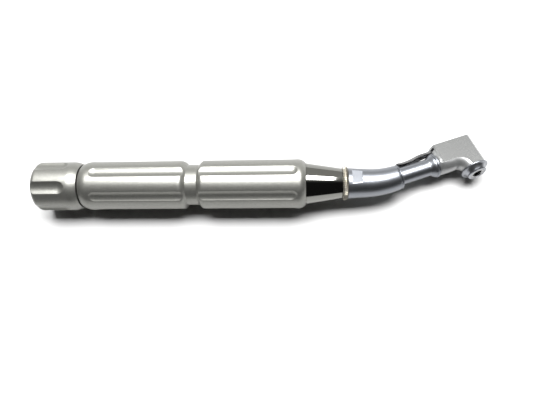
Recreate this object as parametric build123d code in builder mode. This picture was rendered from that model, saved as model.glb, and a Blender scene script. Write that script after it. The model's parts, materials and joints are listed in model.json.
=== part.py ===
from build123d import *
from math import acos, asin, atan2, cos, degrees, hypot, pi, radians, sin, sqrt, tan
import os

# A hand-turned contra-angle screwdriver for latch-type bits, lying on its side. A knob behind the
# grip turns a shaft through the handle, a bevel pair carries the turn round the bent neck, and a
# second bevel pair turns the chuck in the head. +X runs along the handle to the head, +Z is up.
# The piece rests on its knob, its grip and one corner of the head, with its origin under the
# middle of its bounding box. All sizes are in millimetres.

# Stations along the handle axis, counted from the parting gap behind the grip
knob_rear = -13.2
grip_rear = 0.5
grip_front = 63.9
cone_front = 73.93
ring_front = 75.42
bend_at = 84.39

# Stations of the drive inside the handle
screw_head_at, screw_seat, screw_tip = -12.6, -10.2, -4.6
knob_seat_rear, knob_seat_front = -9.9, -0.6
clip_from, clip_to = 7.0, 7.55
front_bush_from, front_bush_to = 50.0, 56.0
cone_spigot_from = 57.5
shaft_step_from, shaft_step_to = 64.5, 65.2
sheath_spigot_from = 66.0
sheath_bush_from, input_seat, shaft_front = 76.9, 82.2, 83.6

# Stations along the neck axis, counted from the bend
middle_rear, middle_step, middle_front = 0.9, 1.86, 24.3
middle_bush_from, middle_bush_to = 2.2, 5.2
counterbore_from = 14.6
sheath_front = 5.77
tube_rear = 2.0
flare_start = 14.2
tube_front = 15.9
head_rear = 16.84
rotor_at = 26.1
bend = 19.65

# Handle radii
grip_r = 7.0
sleeve_bore_r = 4.9
groove_r = 5.75
groove_from, groove_to = 30.7, 33.95
knob_edge_r = 1.5
shoulder_run, shoulder_arc_r, shoulder_r = 2.8, 5.3, 6.2
front_edge_run, front_edge_arc_r, front_edge_r = 2.2, 2.75, 5.9
groove_edge_run, groove_edge_arc_r = 1.8, 1.92
cone_rear_r, cone_front_r, cone_bore_r = 5.81, 4.2, 2.6
ring_r, ring_edge_drop = 4.73, 0.3
ring_grooves, ring_groove_r = 30, 0.16
sheath_rear_r, sheath_front_r = 4.27, 3.4
spigot_r = 3.3
flat_from, flat_to, flat_depth = 76.5, 79.3, 0.68

# Flutes, cut with a round-nosed cutter; angles run from the flat side of the head to its back
flutes = 6
grip_cutter_r, grip_flute_depth, grip_flute_turn = 3.0, 0.6, 2.0
grip_flute_from, grip_flute_to = 3.57, 61.7
knob_cutter_r, knob_flute_depth, knob_flute_turn = 3.2, 0.75, 25.8
knob_flute_to = -3.0

# Shaft, screw and bush radii
shaft_r = 2.2
shaft_front_r = 1.5
gear_seat_r = 1.2
knob_seat_r, knob_seat_flat = 1.8, 1.3
screw_r, screw_head_r, screw_recess_r = 1.25, 2.4, 2.9
socket_half, socket_depth = 1.25, 1.4
clip_seat_r, clip_r, clip_opening = 1.9, 3.1, 2.2
washer_r = 4.6

# Radial gaps: run where a piece turns, fit where it is fixed, and end_gap between end faces
run = 0.03
fit = 0.02
end_gap = 0.05

# Neck and head radii
sheath_bore_r, spigot_bore_r = 2.7, 2.0
bore_crossing = 0.5
tube_r, tube_bore_r = 2.38, 1.9
head_spigot_r, head_bore_r = 2.15, 1.8
flare_r, collar_r, collar_edge = 3.24, 3.39, 0.1
middle_r, middle_end_r = 0.9, 0.6
elbow_r = 3.1

# Head block, with its flat sides square to the chuck axis and its corners at the back
half_flat = 2.84
back_face = 4.83
block_rear = -9.2
block_end_r = 4.5
barrel_r = 3.49
cap_seat = -4.35
elbow_bend_r = -cap_seat
cap_rim = -4.83
cap_r = 3.78
boss_face = -6.5
boss_r, boss_foot = 2.44, -5.75
dish_arc_r = 2.2

# Chuck, for 2.35 mm latch-type shanks
shank_bore_r = 1.18
sleeve_r = 1.5
nose_r, nose_face, nose_back = 1.9, -6.45, -5.2
mouth_depth = 0.2
journal_r, journal_top = 1.6, -2.62
lower_bush_r, lower_bush_floor, lower_bush_top = 2.1, -5.15, -3.15
cavity_r = 2.4
cavity_low, cavity_high = -3.1, 1.9
upper_bush_r = 2.1
chuck_top, upper_bush_top = 3.45, 3.38
shank_flat, shank_flat_from = 0.65, 1.2
socket_r = 1.34
cap_spigot_r = 2.62

# Latch, with room beyond the chuck for the shank's end
latch_low, latch_high = 3.6, 4.2
pocket_low, pocket_high = 3.5, 4.3
pocket_half = 2.45
pocket_front = 1.7
pivot_at = -3.6
pivot_r, pin_low = 0.6, 2.45
latch_half, tail_half = 1.1, 1.45
tooth_in, tooth_out = 0.92, 1.45
lever_front, tooth_root = 0.6, -1.9
tail_from, tail_narrow, tail_wide = -9.7, -10.5, -13.5
tail_slope, tail_dip, tail_end = -14.8, -17.4, -19.9

# Gears: an equal pair at the bend, and a reducing pair in the head
bend_teeth, bend_module, bend_face = 12, 0.367, 0.8
pinion_teeth, chuck_teeth, head_module, head_face = 10, 14, 0.3, 0.45
pressure = 20.0
backlash = 0.07
addendum, dedendum = 0.8, 1.05
root_overlap = 0.12
input_back, middle_back, pinion_back, chuck_back = 2.19, 1.85, 3.2, 2.6

# The head sinks until its back corner meets the bench that the grip lies on
corner_out = sqrt(barrel_r**2 - half_flat**2)
corner_reach = (rotor_at + corner_out) * sin(radians(bend)) + back_face * cos(radians(bend))
roll = asin(grip_r / hypot(corner_reach, half_flat)) - atan2(half_flat, corner_reach)

# In each plane x runs towards the head, y towards the back of the head, z out of its flat side
side = Vector(0, sin(roll), cos(roll))
handle = Plane(origin=(0, 0, grip_r), x_dir=(1, 0, 0), z_dir=side)
neck_dir = handle.x_dir.rotate(Axis((0, 0, 0), side), bend)
neck = Plane(origin=handle.from_local_coords((bend_at, 0, 0)), x_dir=neck_dir, z_dir=side)
head = Plane(origin=neck.from_local_coords((rotor_at, 0, 0)), x_dir=neck_dir, z_dir=side)
head_plan = Plane(origin=head.origin, x_dir=head.x_dir, z_dir=head.y_dir)
pivot = Plane(origin=head.from_local_coords((pivot_at, pin_low, 0)), x_dir=side, z_dir=head.y_dir)

handle_axis = Axis(handle.origin, handle.x_dir)
neck_axis = Axis(neck.origin, neck.x_dir)
chuck_axis = Axis(head.origin, head.y_dir)

pieces = {}


def finish(name, builder):
    """Labels a finished piece and keeps it for the export."""
    builder.part.label = name
    pieces[name] = builder.part


def turn(plane, spin, *outline, mode=Mode.ADD):
    """Revolves an outline of corner points about an axis, in the active part."""
    with BuildSketch(plane) as profile:
        with BuildLine():
            Polyline(*outline, close=True)
        make_face()
    revolve(profile.sketch, axis=spin, mode=mode)


def bore(plane, spin, start, end, radius):
    """Bores the active part along a plane's x axis, from one station to another."""
    turn(plane, spin, (start, 0), (end, 0), (end, radius), (start, radius), mode=Mode.SUBTRACT)


def ring_outline(start, end, inner, outer):
    """Corner points of a plain ring, for a plane whose x axis is the ring's."""
    return (start, inner), (end, inner), (end, outer), (start, outer)


def chuck_ring(low, high, inner, outer):
    """Corner points of a plain ring about the chuck axis."""
    return (inner, low), (inner, high), (outer, high), (outer, low)


def around(plane, angle):
    """The plane turned about its own x axis, so that its z axis leans towards its y axis."""
    return Plane(
        origin=plane.origin,
        x_dir=plane.x_dir,
        z_dir=plane.z_dir.rotate(Axis((0, 0, 0), plane.x_dir), -angle),
    )


def flute(angle, start, end, cutter_r, depth, open_start):
    """Cuts one flute along the handle with round ends, or with an open rear end."""
    level = grip_r + cutter_r - depth
    reach = sqrt(cutter_r**2 - (level - grip_r) ** 2)
    lane = around(handle, angle)
    cutter = Plane(origin=lane.origin + lane.z_dir * level, x_dir=lane.x_dir, z_dir=lane.y_dir)
    rear = start + reach
    front = end - reach
    bow = cutter_r * sin(radians(45))
    with BuildSketch(cutter) as profile:
        with BuildLine():
            if open_start:
                Polyline((front, cutter_r), (start, cutter_r), (start, 0), (front + cutter_r, 0))
            else:
                ThreePointArc((rear - cutter_r, 0), (rear - bow, bow), (rear, cutter_r))
                Line((rear, cutter_r), (front, cutter_r))
                Line((front + cutter_r, 0), (rear - cutter_r, 0))
            ThreePointArc((front, cutter_r), (front + bow, bow), (front + cutter_r, 0))
        make_face()
    revolve(profile.sketch, axis=Axis(cutter.origin, cutter.x_dir), mode=Mode.SUBTRACT)


def tooth_half_width(height, pitch_r, module):
    """Half the width of an involute tooth at a height above its pitch circle."""
    base_r = pitch_r * cos(radians(pressure))
    level_r = max(pitch_r + height, base_r)
    angle = acos(base_r / level_r)
    spread = tan(radians(pressure)) - radians(pressure) - tan(angle) + angle
    return (pitch_r + height) * sin((pi * module / 4 - backlash / 2) / pitch_r + spread)


def bevel_gear(plane, teeth, module, cone, face, back, seat_r, first):
    """A straight bevel gear in the active part. The plane's origin is the apex and its x axis
    runs to the gear's back; cone is the pitch angle, and first the angle of one tooth."""
    tilt = radians(cone)
    pitch_r = module * teeth / 2
    reach = pitch_r / sin(tilt)
    shrink = (reach - face) / reach
    top, root = addendum * module, dedendum * module
    foot = reach * cos(tilt) + root * sin(tilt), reach * sin(tilt) - root * cos(tilt)
    turn(
        plane,
        Axis(plane.origin, plane.x_dir),
        (foot[0] * shrink, seat_r),
        (foot[0] * shrink, foot[1] * shrink),
        foot,
        (back, foot[1]),
        (back, seat_r),
    )
    heights = [-root - root_overlap, -root / 2, 0, top / 2, top]
    halves = [tooth_half_width(h, pitch_r / cos(tilt), module) for h in heights]
    right = list(zip(halves, heights))
    left = [(-w, h) for w, h in reversed(right)]
    for count in range(teeth):
        lane = around(plane, -first - count * 360 / teeth)
        slope = plane.x_dir * cos(tilt) + lane.y_dir * sin(tilt)
        sections = []
        for scale in (1, shrink):
            spot = Plane(origin=plane.origin + slope * (reach * scale), x_dir=lane.z_dir, z_dir=-slope)
            with BuildSketch(spot) as section:
                with BuildLine():
                    Polyline(*[(w * scale, h * scale) for w, h in right + left], close=True)
                make_face()
            sections.append(section.sketch)
        loft(sections, ruled=True)


# Knob: fluted, open to the rear for its screw, with a D-shaped seat for the shaft
with BuildPart() as turning_knob:
    with BuildSketch(handle) as knob_profile:
        with BuildLine():
            Polyline((0, shoulder_r), (0, 0), (knob_rear, 0), (knob_rear, grip_r - knob_edge_r))
            RadiusArc((knob_rear, grip_r - knob_edge_r), (knob_rear + knob_edge_r, grip_r), knob_edge_r)
            Line((knob_rear + knob_edge_r, grip_r), (-shoulder_run, grip_r))
            RadiusArc((-shoulder_run, grip_r), (0, shoulder_r), shoulder_arc_r)
        make_face()
    revolve(axis=handle_axis)
    for count in range(flutes):
        turned = knob_flute_turn + count * 360 / flutes
        flute(turned, knob_rear, knob_flute_to, knob_cutter_r, knob_flute_depth, True)
    bore(handle, handle_axis, knob_rear, screw_seat, screw_recess_r)
    bore(handle, handle_axis, screw_seat, knob_seat_rear, screw_r + 2 * end_gap)
    bore(handle, handle_axis, knob_seat_front, 0, shaft_r + fit)
    seat = handle.from_local_coords((knob_seat_rear, 0, 0))
    with BuildSketch(Plane(origin=seat, x_dir=side, z_dir=(1, 0, 0))):
        Circle(knob_seat_r + fit)
        with Locations((knob_seat_r + knob_seat_flat + fit, 0)):
            Rectangle(2 * knob_seat_r, 4 * knob_seat_r, mode=Mode.SUBTRACT)
    extrude(amount=knob_seat_front - knob_seat_rear + 2 * end_gap, mode=Mode.SUBTRACT)
finish("turning_knob", turning_knob)

# Knob screw: socket head, down into the shaft
with BuildPart() as knob_screw:
    turn(handle, handle_axis, (screw_head_at, 0), (screw_head_at, screw_head_r), (screw_seat, screw_head_r),
         (screw_seat, screw_r), (screw_tip, screw_r), (screw_tip, 0))
    with BuildSketch(Plane(origin=handle.from_local_coords((screw_head_at, 0, 0)), z_dir=(1, 0, 0))):
        RegularPolygon(socket_half, 6, major_radius=False)
    extrude(amount=socket_depth, mode=Mode.SUBTRACT)
finish("knob_screw", knob_screw)

# Washer that carries the knob's end thrust on the grip
with BuildPart() as knob_washer:
    turn(handle, handle_axis, *ring_outline(fit, grip_rear - run, shaft_r + run, washer_r))
finish("knob_washer", knob_washer)

# Drive shaft: D-shaped and tapped behind, grooved for its circlip, stepped down to the gear seat
shaft_rear = knob_seat_rear + end_gap
with BuildPart() as drive_shaft:
    turn(handle, handle_axis, (shaft_rear, 0), (shaft_rear, knob_seat_r), (knob_seat_front, knob_seat_r),
         (knob_seat_front, shaft_r), (clip_from, shaft_r), (clip_from, clip_seat_r), (clip_to, clip_seat_r),
         (clip_to, shaft_r), (shaft_step_from, shaft_r), (shaft_step_to, shaft_front_r),
         (input_seat, shaft_front_r), (input_seat, gear_seat_r), (shaft_front, gear_seat_r), (shaft_front, 0))
    bore(handle, handle_axis, shaft_rear, screw_tip + 0.4, screw_r + fit)
    with BuildSketch(Plane(origin=handle.from_local_coords((shaft_rear, 0, 0)), x_dir=side, z_dir=(1, 0, 0))):
        with Locations((knob_seat_flat + knob_seat_r, 0)):
            Rectangle(2 * knob_seat_r, 4 * knob_seat_r)
    extrude(amount=knob_seat_front - shaft_rear, mode=Mode.SUBTRACT)
finish("drive_shaft", drive_shaft)

# Circlip in the shaft's groove, with its gap towards the flat side
with BuildPart() as shaft_circlip:
    turn(handle, handle_axis, *ring_outline(clip_from + run, clip_to - run, clip_seat_r + fit, clip_r))
    with BuildSketch(Plane(origin=handle.from_local_coords((clip_from, 0, 0)), x_dir=side, z_dir=(1, 0, 0))):
        with Locations(((clip_seat_r + clip_r) / 2, 0)):
            Rectangle(2 * (clip_r - clip_seat_r), clip_opening)
    extrude(amount=clip_to - clip_from, mode=Mode.SUBTRACT)
finish("shaft_circlip", shaft_circlip)

# Grip: fluted sleeve with a round-shouldered groove at its middle
with BuildPart() as grip_sleeve:
    with BuildSketch(handle) as grip_profile:
        with BuildLine():
            Polyline((grip_rear, shoulder_r), (grip_rear, sleeve_bore_r), (grip_front, sleeve_bore_r),
                     (grip_front, front_edge_r))
            RadiusArc((grip_front, front_edge_r), (grip_front - front_edge_run, grip_r), -front_edge_arc_r)
            Line((grip_front - front_edge_run, grip_r), (groove_to + groove_edge_run, grip_r))
            RadiusArc((groove_to + groove_edge_run, grip_r), (groove_to, groove_r), -groove_edge_arc_r)
            Line((groove_to, groove_r), (groove_from, groove_r))
            RadiusArc((groove_from, groove_r), (groove_from - groove_edge_run, grip_r), -groove_edge_arc_r)
            Line((groove_from - groove_edge_run, grip_r), (grip_rear + shoulder_run, grip_r))
            RadiusArc((grip_rear + shoulder_run, grip_r), (grip_rear, shoulder_r), -shoulder_arc_r)
        make_face()
    revolve(axis=handle_axis)
    for count in range(flutes):
        turned = grip_flute_turn + count * 360 / flutes
        flute(turned, grip_flute_from, grip_flute_to, grip_cutter_r, grip_flute_depth, False)
finish("grip_sleeve", grip_sleeve)

# Plain bushes that carry the drive shaft
for name, start, end, inner, outer in (
    ("rear_bush", grip_rear, clip_from - end_gap, shaft_r, sleeve_bore_r),
    ("front_bush", front_bush_from, front_bush_to, shaft_r, sleeve_bore_r),
    ("sheath_bush", sheath_bush_from + 2 * end_gap, input_seat - 2 * end_gap, shaft_front_r, sheath_bore_r),
):
    with BuildPart() as bush:
        turn(handle, handle_axis, *ring_outline(start, end, inner + run, outer - fit))
    finish(name, bush)

# Nose cone: a spigot into the grip behind, and a threaded seat for the sheath in front
with BuildPart() as nose_cone:
    turn(handle, handle_axis, (cone_spigot_from, cone_bore_r), (cone_spigot_from, sleeve_bore_r - fit),
         (grip_front, sleeve_bore_r - fit), (grip_front, cone_rear_r), (cone_front, cone_front_r),
         (cone_front, spigot_r), (sheath_spigot_from, spigot_r), (sheath_spigot_from, cone_bore_r))
finish("nose_cone", nose_cone)

# Locking ring: rounded, with a coarse knurl, free to turn on the sheath's spigot
with BuildPart() as lock_ring:
    middle = (cone_front + ring_front) / 2
    rear, front = cone_front + run, ring_front - run
    edge_r = ring_r - ring_edge_drop
    with BuildSketch(handle) as ring_profile:
        with BuildLine():
            Polyline((rear, edge_r), (rear, spigot_r + run), (front, spigot_r + run), (front, edge_r))
            ThreePointArc((front, edge_r), (middle, ring_r), (rear, edge_r))
        make_face()
    revolve(axis=handle_axis)
    with BuildSketch(Plane(origin=handle.from_local_coords((rear, 0, 0)), x_dir=side, z_dir=(1, 0, 0))):
        with PolarLocations(ring_r, ring_grooves):
            Circle(ring_groove_r)
    extrude(amount=2, mode=Mode.SUBTRACT)
finish("lock_ring", lock_ring)

# Sheath: a bent taper with a spigot behind, wrench flats, and straight bores that meet at the bend
bend_run = 4.0
bend_r = bend_run / tan(radians(bend / 2))
sheath_length = bend_at - ring_front + sheath_front


def sheath_section(along, turned):
    """The section of the sheath where its axis has run along and turned so far."""
    if turned <= 0:
        spot = handle.from_local_coords((bend_at - bend_run - along, 0, 0))
    elif turned >= bend:
        spot = neck.from_local_coords((bend_run + along, 0, 0))
    else:
        spot = handle.from_local_coords(
            (bend_at - bend_run + bend_r * sin(radians(turned)), bend_r * (1 - cos(radians(turned))), 0)
        )
    passed = bend_at - bend_run - ring_front + bend_r * radians(turned)
    passed += along if turned >= bend else 0
    passed -= along if turned <= 0 else 0
    taper = passed / (sheath_length - 2 * bend_run + bend_r * radians(bend))
    direction = handle.x_dir.rotate(Axis((0, 0, 0), side), turned)
    with BuildSketch(Plane(origin=spot, x_dir=side, z_dir=direction)) as section:
        Circle(sheath_rear_r + (sheath_front_r - sheath_rear_r) * taper)
    return section.sketch


with BuildPart() as sheath:
    stations = [(bend_at - bend_run - ring_front, 0), (0, 0), (0, bend / 3), (0, bend * 2 / 3)]
    stations += [(0, bend), (sheath_front - bend_run, bend)]
    loft([sheath_section(along, turned) for along, turned in stations])
    turn(handle, handle_axis, *ring_outline(sheath_spigot_from + 0.1, ring_front, 0, spigot_r - fit))
    for turned in (0, 180):
        lane = around(handle, turned)
        level = sheath_rear_r - flat_depth
        with BuildSketch(Plane(origin=lane.origin + lane.z_dir * level, x_dir=lane.x_dir, z_dir=lane.z_dir)):
            with Locations(((flat_from + flat_to) / 2, 0)):
                Rectangle(flat_to - flat_from, 8)
        extrude(amount=2, mode=Mode.SUBTRACT)
    bore(handle, handle_axis, sheath_spigot_from, sheath_bush_from, spigot_bore_r)
    bore(handle, handle_axis, sheath_bush_from, bend_at + bore_crossing, sheath_bore_r)
    bore(neck, neck_axis, -bore_crossing, tube_rear, sheath_bore_r)
    bore(neck, neck_axis, tube_rear, sheath_front + 1, tube_r + fit)
finish("sheath", sheath)

# Neck: a tube that flares at the head end
with BuildPart() as neck_tube:
    with BuildSketch(neck) as tube_profile:
        with BuildLine():
            Polyline((flare_start, tube_r), (tube_rear, tube_r), (tube_rear, tube_bore_r),
                     (counterbore_from, tube_bore_r), (counterbore_from, head_spigot_r + fit),
                     (tube_front, head_spigot_r + fit), (tube_front, flare_r))
            Spline((flare_start, tube_r), (tube_front, flare_r), tangents=((1, 0), (1, 0.25)))
        make_face()
    revolve(axis=neck_axis)
finish("neck_tube", neck_tube)

# Collar between the neck and the head
with BuildPart() as neck_collar:
    turn(neck, neck_axis, (tube_front, head_spigot_r + fit), (head_rear, head_spigot_r + fit),
         (head_rear, collar_r - collar_edge), (head_rear - collar_edge, collar_r),
         (tube_front + collar_edge, collar_r), (tube_front, collar_r - collar_edge))
finish("neck_collar", neck_collar)

# Bevel gears at the bend, each with half of the angle left between the two shafts
bend_cone = (180 - bend) / 2
with BuildPart() as input_gear:
    to_handle = Plane(origin=neck.origin, x_dir=-handle.x_dir, z_dir=side)
    bevel_gear(to_handle, bend_teeth, bend_module, bend_cone, bend_face, input_back, gear_seat_r + fit, 180)
finish("input_gear", input_gear)

with BuildPart() as middle_gear:
    bevel_gear(neck, bend_teeth, bend_module, bend_cone, bend_face, middle_back,
               middle_end_r + fit, 180 / bend_teeth)
finish("middle_gear", middle_gear)

# Middle shaft through the neck
pinion_seat = rotor_at - pinion_back
with BuildPart() as middle_shaft:
    turn(neck, neck_axis, (middle_rear, 0), (middle_rear, middle_end_r), (middle_step, middle_end_r),
         (middle_step, middle_r), (pinion_seat, middle_r), (pinion_seat, middle_end_r),
         (middle_front, middle_end_r), (middle_front, 0))
finish("middle_shaft", middle_shaft)

for name, start, end, outer in (
    ("middle_rear_bush", middle_bush_from, middle_bush_to, tube_bore_r),
    ("middle_front_bush", pinion_seat - 2.9, pinion_seat - end_gap, head_bore_r),
):
    with BuildPart() as bush:
        turn(neck, neck_axis, *ring_outline(start, end, middle_r + run, outer - fit))
    finish(name, bush)

# Bevel pair in the head: the pinion on the middle shaft, and the chuck's gear below it
pinion_cone = degrees(atan2(pinion_teeth, chuck_teeth))
with BuildPart() as middle_pinion:
    to_neck = Plane(origin=head.origin, x_dir=-head.x_dir, z_dir=side)
    bevel_gear(to_neck, pinion_teeth, head_module, pinion_cone, head_face, pinion_back,
               middle_end_r + fit, 0)
finish("middle_pinion", middle_pinion)

with BuildPart() as chuck_gear:
    to_bit = Plane(origin=head.origin, x_dir=-head.y_dir, z_dir=side)
    bevel_gear(to_bit, chuck_teeth, head_module, 90 - pinion_cone, head_face, chuck_back,
               sleeve_r + fit, 180 + 180 / chuck_teeth)
finish("chuck_gear", chuck_gear)

# Head: a round elbow whose outer corner is filled by a block with two flat sides
with BuildPart() as head_housing:
    with BuildSketch(head) as block_side:
        with BuildLine():
            Polyline((cap_seat - 0.35, -0.4), (block_rear, -0.4), (block_rear, back_face),
                     (barrel_r, back_face), (barrel_r, cap_seat), (-0.4, cap_seat))
            RadiusArc((-0.4, cap_seat), (cap_seat - 0.35, -0.4), -elbow_bend_r)
        make_face()
    extrude(amount=half_flat, both=True)
    with BuildSketch(head_plan) as block_plan:
        Circle(barrel_r)
        with Locations((block_rear + block_end_r, 0)):
            Circle(block_end_r)
        with Locations(((block_rear + block_end_r) / 2, 0)):
            Rectangle(-block_rear - block_end_r, 4 * half_flat)
    extrude(amount=10, both=True, mode=Mode.INTERSECT)
    inset = elbow_bend_r * (1 - sin(radians(45)))
    route_points = [
        head.from_local_coords((along, across, 0))
        for along, across in ((head_rear - rotor_at, 0), (cap_seat, 0), (-inset, -inset), (0, cap_seat))
    ]
    with BuildLine() as elbow_route:
        Line(route_points[0], route_points[1])
        ThreePointArc(*route_points[1:])
    with BuildSketch(Plane(origin=route_points[0], x_dir=head.y_dir, z_dir=head.x_dir)) as elbow_section:
        Circle(elbow_r)
    sweep()
    flat_rear = block_rear + block_end_r - sqrt(block_end_r**2 - half_flat**2)
    for outward in (1, -1):
        with BuildSketch(head.offset(outward * half_flat)):
            with Locations(((flat_rear + 5) / 2, 0)):
                Rectangle(5 - flat_rear, 12)
        extrude(amount=outward, mode=Mode.SUBTRACT)
    spigot_rear = counterbore_from + end_gap
    turn(neck, neck_axis, *ring_outline(spigot_rear, head_rear + 0.5, 0, head_spigot_r))
    bore(neck, neck_axis, spigot_rear, rotor_at, head_bore_r)
    turn(head, chuck_axis, *chuck_ring(cap_seat, cavity_low, 0, cap_spigot_r), mode=Mode.SUBTRACT)
    turn(head, chuck_axis, *chuck_ring(cavity_low, cavity_high, 0, cavity_r), mode=Mode.SUBTRACT)
    turn(head, chuck_axis, *chuck_ring(cavity_high, pocket_low, 0, upper_bush_r), mode=Mode.SUBTRACT)
    with BuildSketch(head_plan.offset(pocket_low)):
        with Locations(((block_rear + pocket_front) / 2 - 0.5, 0)):
            Rectangle(pocket_front - block_rear + 1, 2 * pocket_half)
    extrude(amount=pocket_high - pocket_low, mode=Mode.SUBTRACT)
    with BuildSketch(pivot.offset(-end_gap)):
        Circle(pivot_r)
    extrude(amount=back_face, mode=Mode.SUBTRACT)
finish("head_housing", head_housing)

# Cap under the head: a thin flange dished down to a boss round the chuck
with BuildPart() as head_cap:
    with BuildSketch(head) as cap_profile:
        with BuildLine():
            Polyline((boss_r, boss_foot), (boss_r, boss_face + 0.2), (boss_r - 0.2, boss_face),
                     (nose_r + run, boss_face), (nose_r + run, lower_bush_floor),
                     (lower_bush_r, lower_bush_floor), (lower_bush_r, cavity_low - fit),
                     (cap_spigot_r - fit, cavity_low - fit),
                     (cap_spigot_r - fit, cap_seat - fit), (cap_r - 0.1, cap_seat - 0.12),
                     (cap_r, cap_seat - 0.22), (cap_r, cap_rim), (cap_r - 0.25, cap_rim - 0.05))
            RadiusArc((cap_r - 0.25, cap_rim - 0.05), (boss_r, boss_foot), -dish_arc_r)
        make_face()
    revolve(axis=chuck_axis)
finish("head_cap", head_cap)

# Chuck: a sleeve on two bushes, bored for the shank, with a wider flatted socket for its end
with BuildPart() as chuck_sleeve:
    turn(head, chuck_axis, (shank_bore_r + mouth_depth, nose_face), (nose_r, nose_face), (nose_r, nose_back),
         (journal_r, nose_back), (journal_r, journal_top), (sleeve_r, journal_top), (sleeve_r, chuck_top),
         (socket_r, chuck_top), (socket_r, shank_flat_from), (shank_bore_r, shank_flat_from),
         (shank_bore_r, nose_face + mouth_depth))
    with BuildSketch(head_plan.offset(shank_flat_from)):
        Circle((sleeve_r + socket_r) / 2)
        with Locations((sleeve_r - shank_flat, 0)):
            Rectangle(2 * sleeve_r, 2 * sleeve_r, mode=Mode.SUBTRACT)
    extrude(amount=chuck_top - shank_flat_from)
finish("chuck_sleeve", chuck_sleeve)

for name, low, high, inner, outer in (
    ("chuck_lower_bush", lower_bush_floor + end_gap, lower_bush_top, journal_r, lower_bush_r),
    ("chuck_upper_bush", cavity_high + end_gap, upper_bush_top, sleeve_r, upper_bush_r),
):
    with BuildPart() as bush:
        turn(head, chuck_axis, *chuck_ring(low, high, inner + run, outer - fit))
    finish(name, bush)

# Latch lever: a flat tooth beside the shank's groove, and a tail that dips to the neck and curls up
with BuildPart() as latch_lever:
    with BuildSketch(head) as lever_side:
        with BuildLine():
            Polyline((tail_from + 0.3, latch_high), (lever_front, latch_high), (lever_front, latch_low),
                     (tail_from - 0.3, latch_low))
            Spline((tail_from - 0.3, latch_low), (tail_slope, 2.95), (tail_dip, 2.68), (tail_end, 3.15),
                   tangents=((-1, 0), (-1, 0.4)))
            Line((tail_end, 3.15), (tail_end, 3.6))
            Spline((tail_end, 3.6), (tail_dip, 3.28), (tail_slope, 3.62), (tail_from + 0.3, latch_high),
                   tangents=((1, -0.4), (1, 0)))
        make_face()
    extrude(amount=tail_half, both=True)
    with BuildSketch(head_plan) as lever_plan:
        with BuildLine():
            Polyline((tail_end, -1.0), (tail_end + 0.6, -tail_half), (tail_wide, -tail_half),
                     (tail_narrow, -latch_half), (tooth_root, -latch_half), (tooth_root, tooth_in),
                     (lever_front - 0.1, tooth_in), (lever_front - 0.1, tooth_out), (tooth_root, tooth_out),
                     (tooth_root - 0.7, latch_half), (tail_narrow, latch_half), (tail_wide, tail_half),
                     (tail_end + 0.6, tail_half), (tail_end, 1.0), close=True)
        make_face()
    extrude(amount=10, both=True, mode=Mode.INTERSECT)
    with BuildSketch(pivot.offset(-end_gap)):
        Circle(pivot_r)
    extrude(amount=back_face, mode=Mode.SUBTRACT)
finish("latch_lever", latch_lever)

# Pin that the latch swings on, flush with the back of the head
with BuildPart() as latch_pin:
    with BuildSketch(pivot):
        Circle(pivot_r - run)
    extrude(amount=back_face - pin_low)
finish("latch_pin", latch_pin)

# The origin is under the middle of the bounding box, on the bench
boxes = [piece.bounding_box() for piece in pieces.values()]
low = [min(corner) for corner in zip(*(tuple(box.min) for box in boxes))]
high = [max(corner) for corner in zip(*(tuple(box.max) for box in boxes))]
bench = Vector((low[0] + high[0]) / 2, (low[1] + high[1]) / 2, low[2])
print(f"{len(pieces)} pieces, {high[0] - low[0]:.1f} x {high[1] - low[1]:.1f} x {high[2] - low[2]:.1f} mm")

os.makedirs("parts", exist_ok=True)
for name, piece in pieces.items():
    placed = piece.moved(Location(-bench))
    placed.label = name
    export_step(placed, f"parts/{name}.step")
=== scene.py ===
"""Looks of a hand-turned contra-angle driver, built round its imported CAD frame.

The tool lies on its side on a pale bench: fluted knob and grip, mirror cone, knurled ring, bent
sheath, slim neck, and a small head with a latch. Each visible shell is a surface worked out on a
grid of stations and angles, and each CAD node inside gets its own metal. Sizes are in millimetres
in the frame of the part they belong to, and are turned into metres when a mesh is made.
"""

import json
import logging
from dataclasses import dataclass, field
from enum import Enum
from typing import Callable, Sequence

import bmesh
import bpy
import numpy as np
from mathutils import Matrix


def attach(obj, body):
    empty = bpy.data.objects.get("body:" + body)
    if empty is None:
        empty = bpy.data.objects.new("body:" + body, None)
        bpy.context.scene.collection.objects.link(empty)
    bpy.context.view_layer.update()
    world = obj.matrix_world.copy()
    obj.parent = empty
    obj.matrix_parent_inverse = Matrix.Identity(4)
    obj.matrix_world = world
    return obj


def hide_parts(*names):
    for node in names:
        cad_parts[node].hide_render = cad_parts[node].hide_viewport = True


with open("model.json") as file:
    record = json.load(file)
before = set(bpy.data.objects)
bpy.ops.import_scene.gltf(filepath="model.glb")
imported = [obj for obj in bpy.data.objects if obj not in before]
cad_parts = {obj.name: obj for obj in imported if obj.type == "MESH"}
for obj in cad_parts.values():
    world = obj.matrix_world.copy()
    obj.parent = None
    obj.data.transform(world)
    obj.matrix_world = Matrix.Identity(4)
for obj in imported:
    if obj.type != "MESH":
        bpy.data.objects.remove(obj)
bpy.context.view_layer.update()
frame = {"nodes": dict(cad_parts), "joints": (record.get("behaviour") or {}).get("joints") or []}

Array = np.ndarray
MM = 0.001
FULL_TURN = 2 * np.pi
log = logging.getLogger("contra_angle_driver")


# ---------------------------------------------------------------- frames

@dataclass(frozen=True)
class Axes:
    """A right-handed frame in the row: x runs towards the head, y to the head's back, z out of its side."""

    origin: Array
    along: Array
    back: Array
    side: Array

    def place(self, points: Array) -> Array:
        """Turns local millimetres into row metres: origin + x along + y back + z side.

        Args:
            points: array whose last axis holds x, y and z.

        Returns:
            An array of the same shape, in metres.
        """
        return self.origin + MM * (points @ np.array([self.along, self.back, self.side]))

    def spun(self) -> "Axes":
        """The same frame with x along the old -y and y along the old x, for parts on the chuck's axis."""
        return Axes(self.origin, -self.back, self.along, self.side)


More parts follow.
